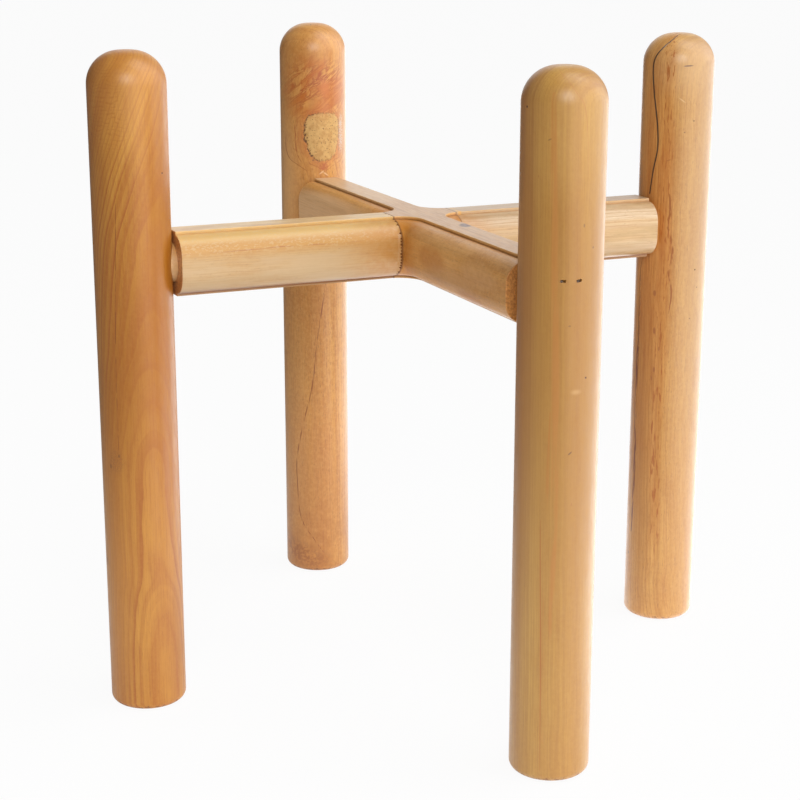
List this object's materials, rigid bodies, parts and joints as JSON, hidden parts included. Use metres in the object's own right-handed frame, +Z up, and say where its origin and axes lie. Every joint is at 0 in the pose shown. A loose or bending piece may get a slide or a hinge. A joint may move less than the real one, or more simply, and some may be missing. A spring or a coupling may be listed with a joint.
{
  "type": "plant stand",
  "caption": "Wooden plant stand: round legs with domed tops carry a routed cross that a flat-bottomed pot sits on.",
  "frame": {"origin": "on the floor, under the middle of the cross", "axes": "+Z up; the arms run along X to the left and right legs, the through rail runs along Y to the front (-Y) and back (+Y) legs"},
  "size_m": [0.343, 0.343, 0.33],
  "materials": {
    "leg_left_wood": "satin varnish over warm cathedral grain",
    "leg_right_wood": "satin varnish over wavy brown grain with one fine drying crack",
    "leg_front_wood": "satin varnish over pale straight grain",
    "leg_back_wood": "satin varnish over orange grain with a filled knot",
    "rail_wood": "satin varnish over routed softwood-coloured grain",
    "arm_wood": "satin varnish over pale straight grain",
    "dowel_wood": "plain sanded",
    "brad_steel": "dull galvanised"
  },
  "bodies": {
    "root": {"leg_left": "leg_left_wood", "leg_right": "leg_right_wood", "leg_front": "leg_front_wood", "leg_back": "leg_back_wood", "through_rail": "rail_wood", "arm_left": "arm_wood", "arm_right": "arm_wood", "hub_dowels": "dowel_wood", "brads": "brad_steel"}
  },
  "joints": []
}
